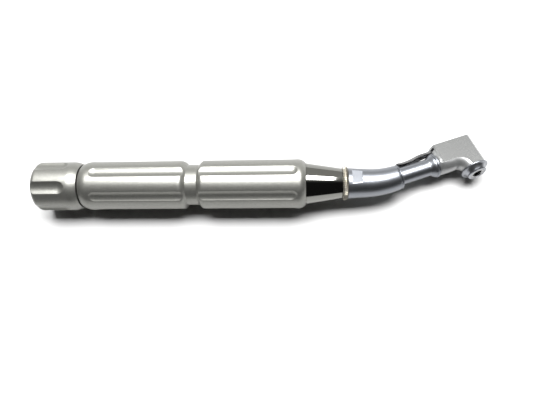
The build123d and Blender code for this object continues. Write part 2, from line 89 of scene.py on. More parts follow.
def unit(vector: Sequence[float]) -> Array:
    """The vector divided by its own length."""
    values = np.array(vector, float)
    return values / np.linalg.norm(values)


def bench_axes() -> dict[str, Axes]:
    """Reads the handle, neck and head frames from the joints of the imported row.

    Returns:
        The three frames by name. The side direction is the cross product of the handle and neck axes.
    """
    joints = {joint["name"]: joint for joint in frame["joints"]}
    handle_dir = unit(joints["knob_turn"]["axis"])
    neck_dir = unit(joints["middle_spin"]["axis"])
    side = unit(np.cross(handle_dir, neck_dir))
    spots = {
        "handle": (joints["knob_turn"]["pos_m"], handle_dir),
        "neck": (joints["middle_spin"]["pos_m"], neck_dir),
        "head": (joints["chuck_spin"]["pos_m"], neck_dir),
    }
    return {
        name: Axes(np.array(spot, float), along, np.cross(side, along), side)
        for name, (spot, along) in spots.items()
    }


# ---------------------------------------------------------------- surfaces

def mesh_piece(name: str, points: Array, crease: float = 40.0) -> bpy.types.Object:
    """Makes an object from a grid of points that closes on itself both ways.

    Args:
        name: the object's name.
        points: rows by columns by 3, in metres; the last row joins the first, and the last column the first.
        crease: angle in degrees above which an edge is shaded sharp.

    Returns:
        The linked object, with smooth shading and faces pointing outwards.
    """
    rows, columns = points.shape[:2]
    index = np.arange(rows * columns).reshape(rows, columns)
    index = np.vstack([index, index[:1]])
    index = np.hstack([index, index[:, :1]])
    quads = np.stack([index[:-1, :-1], index[1:, :-1], index[1:, 1:], index[:-1, 1:]], axis=-1).reshape(-1, 4)
    corners = points.reshape(-1, 3)
    if signed_volume(corners, quads) < 0:
        quads = quads[:, ::-1]
    mesh = bpy.data.meshes.new(name)
    mesh.from_pydata(corners, [], quads)
    mesh.update()
    mesh.shade_smooth()
    mesh.set_sharp_from_angle(angle=np.radians(crease))
    piece = bpy.data.objects.new(name, mesh)
    bpy.context.scene.collection.objects.link(piece)
    return piece


def merged_copy(node: str, name: str) -> bpy.types.Object:
    """Copies a CAD node's mesh and joins its doubled points, so that it can be shaded smooth.

    Args:
        node: the CAD node to copy.
        name: the new object's name.

    Returns:
        The linked object, with smooth shading.
    """
    mesh = frame["nodes"][node].data.copy()
    work = bmesh.new()
    work.from_mesh(mesh)
    bmesh.ops.remove_doubles(work, verts=work.verts, dist=1e-6)
    bmesh.ops.dissolve_degenerate(work, edges=work.edges, dist=1e-7)
    work.to_mesh(mesh)
    work.free()
    mesh.shade_smooth()
    piece = bpy.data.objects.new(name, mesh)
    bpy.context.scene.collection.objects.link(piece)
    return piece


def signed_volume(corners: Array, quads: Array) -> float:
    """Volume inside the quads: a sixth of the sum of a . (b x c) over both triangles of each quad."""
    a, b, c, d = (corners[quads[:, k]] for k in range(4))
    first, second = (np.einsum("ij,ij->i", a, np.cross(*pair)) for pair in ((b, c), (c, d)))
    return float((first + second).sum() / 6)


def clustered(
    start: float, end: float, spots: Sequence[float], width: float, count: int, pull: float = 12.0
) -> Array:
    """Stations from start to end that crowd round chosen spots.

    Each spot adds a bell of the given width to an even density, and the running total of the
    density, cut into equal steps, gives the stations.

    Args:
        start, end: the span.
        spots: where to crowd.
        width: half-width of each bell.
        count: how many stations.
        pull: how much denser a spot is than an empty stretch.

    Returns:
        The stations, rising from start to end.
    """
    fine = np.linspace(start, end, 4000)
    bells = np.exp(-(((fine[:, None] - np.array(spots)[None, :]) / width) ** 2)).sum(axis=1)
    total = np.cumsum(1 + pull * bells)
    total = (total - total[0]) / (total[-1] - total[0])
    return np.interp(np.linspace(0, 1, count), total, fine)


def soft_min(first: Array, second: Array, softness: float) -> Array:
    """The smaller of two heights with a rounded corner: half of (a + b - sqrt((a - b)^2 + k^2))."""
    return (first + second - np.sqrt((first - second) ** 2 + softness**2)) / 2


def rounded_path(corners: Sequence[tuple[float, float, float]], steps: int = 6) -> Array:
    """A closed outline whose corners are rounded by their own radii.

    Each corner is replaced by a quadratic bend that leaves the two sides at a distance of about
    the radius, or less on a short side.

    Args:
        corners: (x, radius from the axis, rounding) of each corner, in order.
        steps: points in each bend.

    Returns:
        The outline's points, n by 2.
    """
    spots = np.array([corner[:2] for corner in corners], float)
    radii = np.array([corner[2] for corner in corners], float)
    before, after = np.roll(spots, 1, axis=0) - spots, np.roll(spots, -1, axis=0) - spots
    reach_before, reach_after = np.linalg.norm(before, axis=1), np.linalg.norm(after, axis=1)
    cut = np.minimum(radii, 0.45 * np.minimum(reach_before, reach_after))
    t = np.linspace(0, 1, steps)[None, :, None]
    begin = (spots + before / reach_before[:, None] * cut[:, None])[:, None, :]
    finish = (spots + after / reach_after[:, None] * cut[:, None])[:, None, :]
    bends = (1 - t) ** 2 * begin + 2 * t * (1 - t) * spots[:, None, :] + t**2 * finish
    return bends.reshape(-1, 2)


def turned(
    axes: Axes, outline: Array, segments: int = 192,
    trim: Callable[[Array, Array, Array], Array] | None = None,
) -> Array:
    """Points of an outline turned about a frame's x axis.

    A point is (x, r cos a, r sin a), where the angle a runs from the y direction to the z direction.

    Args:
        axes: the frame.
        outline: n by 2, of stations and radii.
        segments: how many angles.
        trim: takes stations, radii and angles as grids, and returns changed radii.

    Returns:
        Rows of stations by columns of angles, in metres.
    """
    angles = np.linspace(0, FULL_TURN, segments, endpoint=False)
    x, a = np.meshgrid(outline[:, 0], angles, indexing="ij")
    r = np.broadcast_to(outline[:, 1][:, None], x.shape)
    if trim is not None:
        r = trim(x, r, a)
    return axes.place(np.stack([x, r * np.cos(a), r * np.sin(a)], axis=-1))


# ---------------------------------------------------------------- finishes

class Grain(Enum):
    """How the small marks of a finish lie on the metal."""

    BLASTED = "blasted"
    TURNED = "turned"
    DRAWN = "drawn"
    CLOUDED = "clouded"


# How far the grain is squeezed along a frame's three directions: a small number draws the marks out
GRAIN_SQUEEZE = {
    Grain.BLASTED: (1.0, 1.0, 1.0),
    Grain.CLOUDED: (1.0, 1.0, 1.0),
    Grain.TURNED: (1.0, 0.02, 0.02),
    Grain.DRAWN: (0.03, 1.0, 1.0),
}
NOISE_MIDDLE = (0.3, 0.7)
TINT_MIDDLE = (0.25, 0.75)


@dataclass(frozen=True)
class Finish:
    """A metal or polymer finish with its own grain, gloss variation and faint relief."""

    name: str
    colour: tuple[float, float, float]
    metallic: float
    roughness: float
    roughness_spread: float
    grain: Grain
    relief: float
    tint: float = 0.06
    coarse: float = 900.0
    fine: float = 9000.0

    def _grain_vector(self, tree: bpy.types.NodeTree, axes: Axes) -> bpy.types.NodeSocket:
        """Coordinates along the three directions of a frame, squeezed so that the grain runs the right way.

        Args:
            tree: the material's node tree.
            axes: the frame of the piece.

        Returns:
            The socket that holds the coordinates.
        """
        nodes, links = tree.nodes, tree.links
        place = nodes.new("ShaderNodeTexCoord")
        squeeze = GRAIN_SQUEEZE[self.grain]
        join = nodes.new("ShaderNodeCombineXYZ")
        for slot, direction in enumerate((axes.along, axes.back, axes.side)):
            dot = nodes.new("ShaderNodeVectorMath")
            dot.operation = "DOT_PRODUCT"
            links.new(place.outputs["Object"], dot.inputs[0])
            dot.inputs[1].default_value = tuple(float(v) * squeeze[slot] for v in direction)
            links.new(dot.outputs["Value"], join.inputs[slot])
        return join.outputs[0]

    @staticmethod
    def _noise(
        tree: bpy.types.NodeTree, vector: bpy.types.NodeSocket, scale: float, detail: float
    ) -> bpy.types.NodeSocket:
        """A noise pattern of a given scale.

        Args:
            tree: the material's node tree.
            vector: the coordinates that the pattern is read at.
            scale: bumps per metre, roughly.
            detail: how many finer octaves are added.

        Returns:
            The socket of the noise's height, from 0 to 1.
        """
        noise = tree.nodes.new("ShaderNodeTexNoise")
        noise.inputs["Scale"].default_value = scale
        noise.inputs["Detail"].default_value = detail
        tree.links.new(vector, noise.inputs["Vector"])
        return noise.outputs["Fac"]

    @staticmethod
    def _spread(
        tree: bpy.types.NodeTree, source: bpy.types.NodeSocket, low: float, high: float
    ) -> bpy.types.NodeSocket:
        """Maps the middle of a noise to a span of values.

        Args:
            tree: the material's node tree.
            source: the noise's height.
            low, high: the values at the two ends of the noise's middle.

        Returns:
            The socket of the mapped value.
        """
        spread = tree.nodes.new("ShaderNodeMapRange")
        spread.inputs["From Min"].default_value, spread.inputs["From Max"].default_value = NOISE_MIDDLE
        spread.inputs["To Min"].default_value = low
        spread.inputs["To Max"].default_value = high
        tree.links.new(source, spread.inputs["Value"])
        return spread.outputs["Result"]

    def material(self, axes: Axes) -> bpy.types.Material:
        """Builds the finish: a coarse cloud tints the colour, and a fine noise varies the gloss and relief.

        Args:
            axes: the frame of the piece, which the grain follows.

        Returns:
            The new material.
        """
        made = bpy.data.materials.new(self.name)
        made.use_nodes = True
        tree = made.node_tree
        shader = tree.nodes["Principled BSDF"]
        vector = self._grain_vector(tree, axes)
        cloud = self._noise(tree, vector, self.coarse, 3.0)
        speck = self._noise(tree, vector, self.fine, 2.0)
        ramp = tree.nodes.new("ShaderNodeValToRGB")
        ramp.color_ramp.elements[0].position, ramp.color_ramp.elements[1].position = TINT_MIDDLE
        ramp.color_ramp.elements[0].color = (*[c * (1 - self.tint) for c in self.colour], 1)
        ramp.color_ramp.elements[1].color = (*[min(1.0, c * (1 + self.tint)) for c in self.colour], 1)
        tree.links.new(cloud, ramp.inputs["Fac"])
        tree.links.new(ramp.outputs["Color"], shader.inputs["Base Color"])
        shader.inputs["Metallic"].default_value = self.metallic
        gloss = self._spread(
            tree, speck, self.roughness - self.roughness_spread, self.roughness + self.roughness_spread
        )
        tree.links.new(gloss, shader.inputs["Roughness"])
        bump = tree.nodes.new("ShaderNodeBump")
        bump.inputs["Strength"].default_value = 1.0
        bump.inputs["Distance"].default_value = self.relief * MM
        tree.links.new(speck, bump.inputs["Height"])
        tree.links.new(bump.outputs["Normal"], shader.inputs["Normal"])
        return made


PEARL = Finish(
    "pearl_anodised", (0.235, 0.235, 0.218), metallic=0.88, roughness=0.40, roughness_spread=0.08,
    grain=Grain.BLASTED, relief=0.020, tint=0.06, coarse=1500, fine=5200,
)
MIRROR = Finish(
    "mirror_steel", (0.22, 0.22, 0.205), metallic=1.0, roughness=0.07, roughness_spread=0.02,
    grain=Grain.TURNED, relief=0.0004, tint=0.02, coarse=600, fine=20000,
)
KNURL = Finish(
    "knurled_steel", (0.24, 0.225, 0.19), metallic=1.0, roughness=0.26, roughness_spread=0.06,
    grain=Grain.BLASTED, relief=0.002, tint=0.06, coarse=1500, fine=9000,
)
SATIN = Finish(
    "satin_steel", (0.225, 0.235, 0.255), metallic=1.0, roughness=0.36, roughness_spread=0.05,
    grain=Grain.BLASTED, relief=0.003, tint=0.04, coarse=900, fine=9000,
)
BLASTED = Finish(
    "blasted_steel", (0.36, 0.365, 0.365), metallic=0.95, roughness=0.23, roughness_spread=0.05,
    grain=Grain.BLASTED, relief=0.008, tint=0.05, coarse=1800, fine=7000,
)
TUMBLED = Finish(
    "tumbled_steel", (0.335, 0.34, 0.34), metallic=0.82, roughness=0.36, roughness_spread=0.06,
    grain=Grain.BLASTED, relief=0.005, tint=0.05, coarse=1500, fine=8000,
)
BRUSHED = Finish(
    "brushed_steel", (0.30, 0.31, 0.33), metallic=1.0, roughness=0.33, roughness_spread=0.06,
    grain=Grain.TURNED, relief=0.0015, tint=0.04, coarse=900, fine=9000,
)
LATCH = Finish(
    "latch_steel", (0.27, 0.27, 0.275), metallic=1.0, roughness=0.22, roughness_spread=0.05,
    grain=Grain.DRAWN, relief=0.002, tint=0.08, coarse=900, fine=12000,
)
GROUND = Finish(
    "ground_steel", (0.34, 0.34, 0.35), metallic=1.0, roughness=0.24, roughness_spread=0.06,
    grain=Grain.TURNED, relief=0.002, tint=0.04, coarse=900, fine=12000,
)
GEAR = Finish(
    "gear_steel", (0.28, 0.28, 0.29), metallic=1.0, roughness=0.32, roughness_spread=0.08,
    grain=Grain.BLASTED, relief=0.003, tint=0.08, coarse=1200, fine=9000,
)
BRONZE = Finish(
    "bush_bronze", (0.42, 0.27, 0.13), metallic=1.0, roughness=0.38, roughness_spread=0.08,
    grain=Grain.CLOUDED, relief=0.005, tint=0.12, coarse=1200, fine=8000,
)
POLYMER = Finish(
    "washer_polymer", (0.025, 0.025, 0.028), metallic=0.0, roughness=0.5, roughness_spread=0.08,
    grain=Grain.CLOUDED, relief=0.004, tint=0.1, coarse=900, fine=7000,
)


def dress(piece: bpy.types.Object, finish: Finish, axes: Axes) -> None:
    """Puts a finish on every material slot of a piece.

    Args:
        piece: the object to dress.
        finish: the finish it gets.
        axes: the frame that the grain follows.
    """
    made = finish.material(axes)
    if not piece.material_slots:
        piece.data.materials.append(made)
    for slot in piece.material_slots:
        slot.material = made


def hand_over(piece: bpy.types.Object, body: str, slot: str, *nodes: str) -> None:
    """Lets a piece ride on a body in place of CAD nodes, and reports it.

    Args:
        piece: the new piece.
        body: the body that carries it.
        slot: not used.
        nodes: the CAD nodes that it stands for.
    """
    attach(piece, body)
    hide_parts(*nodes)
    log.info("%s rides on %s, %d faces", piece.name, body, len(piece.data.polygons))


# ---------------------------------------------------------------- handle

@dataclass
class Flutes:
    """Grooves milled along a cylinder by a round-nosed cutter."""

    count: int
    cutter: float
    depth: float
    turn: float
    rear: float
    front: float
    softness: float = 0.05
    clearance: float = 2.0

    def cut(self, x: Array, r: Array, a: Array, radius: float) -> Array:
        """Lowers radii to the nearest flute.

        Along a ray at an angle p from a flute's middle, the cutter's circle, whose centre is at the
        level L, is met at L cos p - sqrt(c^2 - L^2 sin^2 p). Past the last centre the cutter's
        radius c shrinks as a ball's does.

        Args:
            x, r, a: grids of stations, radii and angles.
            radius: the cylinder's radius.

        Returns:
            The lowered radii.
        """
        level = radius + self.cutter - self.depth
        reach = np.sqrt(self.cutter**2 - (level - radius) ** 2)
        past = np.maximum(0, np.maximum(self.rear + reach - x, x - self.front + reach))
        ball = np.sqrt(np.maximum(self.cutter**2 - past**2, 0))
        step = FULL_TURN / self.count
        middle = np.pi / 2 - np.radians(self.turn)
        p = (a - middle + step / 2) % step - step / 2
        inside = ball**2 - (level * np.sin(p)) ** 2
        clear = radius + self.clearance
        floor = np.where(inside > 0, level * np.cos(p) - np.sqrt(np.maximum(inside, 0)), clear)
        return soft_min(r, np.minimum(floor, clear), self.softness)

    def angles(self, radius: float, count: int) -> Array:
        """Angles for a whole turn, crowded where the flutes' edges fall.

        The cutter's circle crosses the cylinder at the angle whose cosine is (r^2 + L^2 - c^2) / (2 r L).

        Args:
            radius: the cylinder's radius.
            count: about how many angles.

        Returns:
            The angles, flute after flute.
        """
        level = radius + self.cutter - self.depth
        edge = np.arccos((radius**2 + level**2 - self.cutter**2) / (2 * radius * level))
        half = np.pi / self.count
        sector = clustered(-half, half, (-edge, edge), 0.025, count // self.count + 1, 4)[:-1]
        starts = np.pi / 2 - np.radians(self.turn) + FULL_TURN / self.count * np.arange(self.count)
        return (starts[:, None] + sector[None, :]).reshape(-1)


@dataclass
class Handle:
    """The fluted grip and the knob behind it, with the screw and washer between them."""

    axes: Axes
    radius: float = 7.0
    grip_flutes: Flutes = field(
        default_factory=lambda: Flutes(count=6, cutter=2.55, depth=0.66, turn=2.0, rear=3.57, front=61.7))
    knob_flutes: Flutes = field(
        default_factory=lambda: Flutes(count=6, cutter=3.2, depth=0.75, turn=25.8, rear=-30.0, front=-3.0))
    grip_span: tuple[float, float] = (0.5, 63.9)
    knob_rear: float = -13.2
    groove: tuple[float, float] = (30.7, 33.95)
    groove_radius: float = 5.75
    bore: float = 4.9
    shoulder: tuple[float, float] = (2.8, 0.8)
    front_edge: tuple[float, float] = (2.2, 1.1)
    groove_edge: tuple[float, float] = (1.8, 1.25)
    knob_round: float = 1.5
    knob_seat: tuple[float, float] = (0.6, 2.25)
    knob_bore: float = 1.85
    screw_recess: tuple[float, float] = (-10.2, 2.9)

    def _shoulder(self, inwards: Array) -> Array:
        """Radii near a parting face, lowered by the drop times the square of the way still to go.

        Args:
            inwards: distances from the parting face.

        Returns:
            The radii.
        """
        run, drop = self.shoulder
        return self.radius - drop * np.clip(1 - inwards / run, 0, 1) ** 2

    def _fluted(self, outline: Array, outer: Array, flutes: Flutes, count: int = 480) -> Array:
        """Turns an outline and cuts flutes into its outer rows.

        Args:
            outline: n by 2, of stations and radii.
            outer: n booleans, true on rows that the cutter reaches.
            flutes: the grooves.
            count: angles round the turn.

        Returns:
            The grid of points, in metres.
        """
        angles = flutes.angles(self.radius, count)
        x, a = np.meshgrid(outline[:, 0], angles, indexing="ij")
        r = np.broadcast_to(outline[:, 1][:, None], x.shape)
        r = np.where(outer[:, None], flutes.cut(x, r, a, self.radius), r)
        return self.axes.place(np.stack([x, r * np.cos(a), r * np.sin(a)], axis=-1))

    def grip(self) -> bpy.types.Object:
        """The sleeve: its radius is the smallest of the cylinder, two end roundings and the middle groove.

        The groove's shoulder rises by 1 - (1 - q)^2 of its height, q being how far along it a station is.

        Returns:
            The piece.
        """
        start, end = self.grip_span
        x = clustered(start, end, (start, 4.2, *self.groove, 61.2, end), 1.3, 150, 7)
        rear = self._shoulder(x - start)
        run, drop = self.front_edge
        front = self.radius - drop * np.clip(1 - (end - x) / run, 0, 1) ** 2
        away = np.maximum(0, np.maximum(self.groove[0] - x, x - self.groove[1]))
        run, rise = self.groove_edge
        dip = self.groove_radius + rise * (1 - (1 - np.clip(away / run, 0, 1)) ** 2)
        skin = soft_min(soft_min(rear, front, 0.05), dip, 0.1)
        outer = np.stack([x, skin], axis=1)
        inner = np.array([[end, self.bore], [(start + end) / 2, self.bore], [start, self.bore]])
        lip_front = np.array([[end, (skin[-1] + self.bore) / 2]])
        lip_rear = np.array([[start, (skin[0] + self.bore) / 2]])
        outline = np.vstack([outer, lip_front, inner, lip_rear])
        reached = np.arange(len(outline)) < len(outer)
        piece = mesh_piece("grip_shell", self._fluted(outline, reached, self.grip_flutes))
        dress(piece, PEARL, self.axes)
        hand_over(piece, "handle", "anodised_grip", "grip_sleeve")
        return piece

    def knob(self) -> bpy.types.Object:
        """The knob: a quarter round behind, the grip's shoulder in front, and a recess for its screw.

        Returns:
            The piece.
        """
        x = clustered(self.knob_rear, 0.0, (self.knob_rear, -3.6, 0.0), 1.0, 90, 6)
        bend = self.knob_round
        rear = self.radius - bend + np.sqrt(bend**2 - np.clip(self.knob_rear + bend - x, 0, bend) ** 2)
        front = self._shoulder(-x)
        outer = np.stack([x, soft_min(rear, front, 0.05)], axis=1)
        depth, seat = self.knob_seat
        floor, recess = self.screw_recess
        bore = self.knob_bore
        rest = rounded_path(
            ((0.0, seat, 0.1), (-depth, seat, 0.05), (-depth, bore, 0.05), (floor, bore, 0.05),
             (floor, recess, 0.05), (self.knob_rear, recess, 0.25), (self.knob_rear, 5.2, 0.02)), 4)
        outline = np.vstack([outer, [[0.0, 4.5]], rest])
        reached = np.arange(len(outline)) < len(outer)
        piece = mesh_piece("knob_shell", self._fluted(outline, reached, self.knob_flutes, 432))
        dress(piece, PEARL, self.axes)
        hand_over(piece, "drive", "anodised_grip", "turning_knob")
        return piece


# ---------------------------------------------------------------- nose, sheath and neck

@dataclass
class Nose:
    """The polished cone in front of the grip, and the knurled locking ring."""

    axes: Axes
    cone: tuple[float, float, float, float] = (63.9, 5.81, 73.93, 4.2)
    ring: tuple[float, float, float, float] = (73.96, 75.39, 3.33, 4.73)
    knurls: int = 52
    knurl_depth: float = 0.24
    socket: tuple[float, float] = (66.0, 3.3)
    spigot: tuple[float, float] = (57.5, 4.88)
    bore: float = 2.6

    def polished_cone(self) -> bpy.types.Object:
        """The cone, a straight taper with a fine rounding at each end.

        Returns:
            The piece.
        """
        rear, rear_r, front, front_r = self.cone
        floor, socket = self.socket
        start, spigot = self.spigot
        outline = rounded_path(
            ((rear, rear_r, 0.15), (front, front_r, 0.12), (front, socket, 0.05), (floor, socket, 0.05),
             (floor, self.bore, 0.05), (start, self.bore, 0.05), (start, spigot, 0.1),
             (rear, spigot, 0.05)), 5)
        piece = mesh_piece("nose_cone_shell", turned(self.axes, outline, 256))
        dress(piece, MIRROR, self.axes)
        hand_over(piece, "handle", "mirror_steel", "nose_cone")
        return piece

    def locking_ring(self) -> bpy.types.Object:
        """The ring: a bead whose radius dips between knurls, fading to its two faces.

        The dip is the sixth power of the sine of half the knurls times the angle, with a slight lean.

        Returns:
            The piece.
        """
        rear, front, inner, radius = self.ring
        across = np.linspace(-1, 1, 15)
        stations = (rear + front) / 2 + across * (front - rear) / 2
        bead = np.stack([stations, radius - 0.34 * np.abs(across) ** 2.6], axis=1)
        outline = np.vstack([bead, [[front, 3.9], [front, inner], [rear, inner], [rear, 3.9]]])

        def knurl(x: Array, r: Array, a: Array) -> Array:
            """Lowers the bead between knurls.

            Args:
                x, r, a: grids of stations, radii and angles.

            Returns:
                The lowered radii.
            """
            fade = np.clip(1 - np.abs(2 * (x - rear) / (front - rear) - 1) ** 4, 0, 1) * (r > 4.0)
            return r - self.knurl_depth * fade * np.abs(np.sin(self.knurls * a / 2 + 0.9 * (x - rear))) ** 6

        points = turned(self.axes, outline, self.knurls * 14, knurl)
        piece = mesh_piece("locking_ring", points, 60)
        dress(piece, KNURL, self.axes)
        hand_over(piece, "ring", "knurled_steel", "lock_ring")
        return piece


@dataclass
class Sheath:
    """The bent, tapering sheath with its two wrench flats."""

    handle: Axes
    rear: float = 75.44
    bend_at: float = 84.39
    bend: float = 19.65
    bend_run: float = 4.0
    end: float = 5.77
    rear_radius: float = 4.27
    end_radius: float = 3.4
    flat_span: tuple[float, float] = (76.5, 79.3)
    flat_level: float = 3.59
    groove: tuple[float, float, float] = (0.62, 0.13, 0.30)
    neck_seat: tuple[float, float] = (3.7, 2.42)
    bush_seat: tuple[float, float] = (1.5, 2.72)
    bore: float = 2.02

    def _centre(self, t: Array) -> tuple[Array, Array]:
        """The centre line after a length t: straight, then an arc tangent to both axes, then straight.

        Args:
            t: lengths from the rear end, in millimetres.

        Returns:
            Points in the handle's frame, n by 2, and the angle turned so far in radians.
        """
        bend = np.radians(self.bend)
        radius = self.bend_run / np.tan(bend / 2)
        straight = self.bend_at - self.bend_run - self.rear
        turned_by = np.clip((t - straight) / radius, 0, bend)
        rest = np.maximum(t - straight - radius * bend, 0)
        x = self.rear + np.minimum(t, straight) + radius * np.sin(turned_by) + rest * np.cos(turned_by)
        y = radius * (1 - np.cos(turned_by)) + rest * np.sin(turned_by)
        return np.stack([x, y], axis=1), turned_by

    @property
    def length(self) -> float:
        """Length of the centre line from end to end: two straights and the arc between them.

        Returns:
            The length in millimetres.
        """
        bend = np.radians(self.bend)
        radius = self.bend_run / np.tan(bend / 2)
        return self.bend_at - self.rear - 2 * self.bend_run + self.end + radius * bend

    def shell(self) -> bpy.types.Object:
        """The sheath's skin, end faces and bore, as rings carried along the centre line.

        The skin tapers evenly, its ends are broken by a square law, and its groove is a bell near the end.

        Returns:
            The piece.
        """
        low, high = (spot - self.rear for spot in self.flat_span)
        t = clustered(0, self.length, (0, low, high, self.length), 0.25, 110, 14)
        skin = self.rear_radius + (self.end_radius - self.rear_radius) * t / self.length
        skin = skin - 0.12 * np.clip(1 - t / 0.2, 0, 1) ** 2
        lip = 0.16 * np.clip(1 - (self.length - t) / 0.22, 0, 1) ** 2
        groove_at, groove_width, groove_depth = self.groove
        groove = groove_depth * np.exp(-(((self.length - t - groove_at) / groove_width) ** 2))
        skin = skin - lip - groove
        seat, seat_r = self.neck_seat
        shelf, chamber = self.bush_seat
        end = self.length
        inner_t = np.array([end, end - seat, end - seat - 0.05, shelf, shelf - 0.05, 0.0])
        inner_r = np.array([seat_r, seat_r, chamber, chamber, self.bore, self.bore])
        stations = np.concatenate([t, [self.length], inner_t, [0.0]])
        radii = np.concatenate([skin, [2.9], inner_r, [3.2]])
        angles = np.linspace(0, FULL_TURN, 256, endpoint=False)
        s, a = np.meshgrid(stations, angles, indexing="ij")
        r = np.broadcast_to(radii[:, None], s.shape)
        on_flat = (s > low) & (s < high) & (r > 3.3)
        flat = self.flat_level / np.maximum(np.abs(np.sin(a)), 0.2)
        r = np.where(on_flat, np.minimum(r, flat), r)
        centre, by = self._centre(stations)
        out = r * np.cos(a)
        x = centre[:, :1] - out * np.sin(by)[:, None]
        y = centre[:, 1:] + out * np.cos(by)[:, None]
        points = self.handle.place(np.stack([x, y, r * np.sin(a)], axis=-1))
        piece = mesh_piece("sheath_shell", points, 35)
        dress(piece, SATIN, self.handle)
        hand_over(piece, "handle", "satin_steel", "sheath")
        return piece


@dataclass
class Neck:
    """The slim tube that flares at the head end, and the collar that follows it."""

    axes: Axes
    tube_radius: float = 2.38
    rear: float = 2.0
    flare: tuple[float, float] = (14.1, 15.9)
    collar: tuple[float, float] = (15.93, 16.84)
    collar_radius: float = 3.39
    flare_radius: float = 3.2
    seat: tuple[float, float] = (14.6, 2.17)
    bore: float = 1.9
    collar_groove: float = 0.7

    def tube(self) -> bpy.types.Object:
        """The tube; its flare rises as a smooth step, 3 q^2 - 2 q^3, of the way q along it.

        Returns:
            The piece.
        """
        start, end = self.flare
        x = np.concatenate([np.linspace(self.rear, start, 12), np.linspace(start, end, 24)[1:]])
        q = np.clip((x - start) / (end - start), 0, 1)
        rise = self.flare_radius - self.tube_radius
        skin = np.stack([x, self.tube_radius + rise * q**2 * (3 - 2 * q)], axis=1)
        floor, seat = self.seat
        rest = rounded_path(
            ((end, self.flare_radius, 0.08), (end, seat, 0.03), (floor, seat, 0.03), (floor, self.bore, 0.03),
             (self.rear, self.bore, 0.05)), 4)
        piece = mesh_piece("neck_tube_shell", turned(self.axes, np.vstack([skin[:-1], rest])))
        dress(piece, SATIN, self.axes)
        hand_over(piece, "handle", "satin_steel", "neck_tube")
        return piece

    def ring(self) -> bpy.types.Object:
        """The collar, a short ring with a fine groove between it and the head.

        Returns:
            The piece.
        """
        rear, front = self.collar
        radius, bore = self.collar_radius, self.seat[1]
        floor = radius - self.collar_groove
        outline = rounded_path(
            ((rear, bore, 0.03), (rear, radius - 0.22, 0.03), (rear + 0.14, radius, 0.08),
             (front - 0.36, radius, 0.05), (front - 0.26, floor, 0.03), (front, floor, 0.03),
             (front, bore, 0.03)), 5)
        piece = mesh_piece("neck_collar_shell", turned(self.axes, outline))
        dress(piece, SATIN, self.axes)
        hand_over(piece, "handle", "satin_steel", "neck_collar")
        return piece


# ---------------------------------------------------------------- head

@dataclass
class Head:
    """The head: its housing, the dished cap, the chuck and the latch."""

    axes: Axes
    cap_radius: float = 3.78
    boss_radius: float = 2.44
    boss_face: float = 6.5
    mouth: float = 1.93
    bush_seat: float = 2.1
    thread: float = 2.6
    dish_depth: float = 0.30

    def housing(self) -> bpy.types.Object:
        """The housing on its own outline, with the borders of its two flat sides kept sharp.

        The flats are the faces square to the side direction. They are blasted, and the rest is tumbled.

        Returns:
            The piece.
        """
        piece = merged_copy("head_housing", "head_shell")
        mesh = piece.data
        mesh.set_sharp_from_angle(angle=np.radians(30))
        normals = np.zeros(3 * len(mesh.polygons))
        mesh.polygons.foreach_get("normal", normals)
        sizes = np.zeros(len(mesh.polygons), int)
        mesh.polygons.foreach_get("loop_total", sizes)
        edges = np.zeros(len(mesh.loops), int)
        mesh.loops.foreach_get("edge_index", edges)
        flat = np.abs(normals.reshape(-1, 3) @ self.axes.side) > 0.99995
        flats_beside = np.bincount(edges, np.repeat(flat, sizes), len(mesh.edges))
        sharp = np.zeros(len(mesh.edges), bool)
        mesh.attributes["sharp_edge"].data.foreach_get("value", sharp)
        mesh.attributes["sharp_edge"].data.foreach_set("value", sharp | (flats_beside == 1))
        dress(piece, BLASTED, self.axes)
        mesh.materials.append(TUMBLED.material(self.axes))
        mesh.polygons.foreach_set("material_index", np.where(flat, 0, 1).astype(np.int32))
        mesh.update()
        hand_over(piece, "handle", "blasted_steel", "head_housing")
        return piece

    def cap(self) -> bpy.types.Object:
        """The cap: a thin rim, a hollow dish and a boss, turned about the chuck's axis.

        The dish sags below the straight line from rim to boss by half a sine wave.

        Returns:
            The piece.
        """
        dish_from, dish_to = np.array([4.87, self.cap_radius - 0.22]), np.array([5.85, self.boss_radius])
        q = np.linspace(0, 1, 14)[:, None]
        dish = dish_from * (1 - q) + dish_to * q
        dish[:, 0] -= self.dish_depth * np.sin(np.pi * q[:, 0])
        face, mouth, rim = self.boss_face, self.mouth, self.cap_radius
        seat, thread = self.bush_seat, self.thread
        rest = rounded_path(
            ((face, self.boss_radius, 0.3), (face, mouth, 0.06), (5.15, mouth, 0.03), (5.15, seat, 0.03),
             (3.12, seat, 0.03), (3.12, thread, 0.05), (4.37, thread, 0.03), (4.45, rim - 0.1, 0.1),
             (4.83, rim, 0.12)), 6)
        points = turned(self.axes.spun(), np.vstack([dish, rest]))
        piece = mesh_piece("head_cap_shell", points)
        dress(piece, BRUSHED, self.axes.spun())
        hand_over(piece, "handle", "satin_steel", "head_cap")
        return piece

    def chuck(self) -> bpy.types.Object:
        """The chuck's sleeve on its own outline, with its flatted socket, sharp only at its corners.

        Returns:
            The piece.
        """
        piece = merged_copy("chuck_sleeve", "chuck_shell")
        piece.data.set_sharp_from_angle(angle=np.radians(30))
        dress(piece, LATCH, self.axes.spun())
        hand_over(piece, "chuck", "latch_steel", "chuck_sleeve")
        return piece

    def latch(self) -> bpy.types.Object:
        """The lever on its own outline, sharp only at its corners.

        Returns:
            The piece.
        """
        piece = merged_copy("latch_lever", "latch_shell")
        piece.data.set_sharp_from_angle(angle=np.radians(30))
        dress(piece, LATCH, self.axes)
        hand_over(piece, "latch", "latch_steel", "latch_lever")
        return piece


# ---------------------------------------------------------------- inside

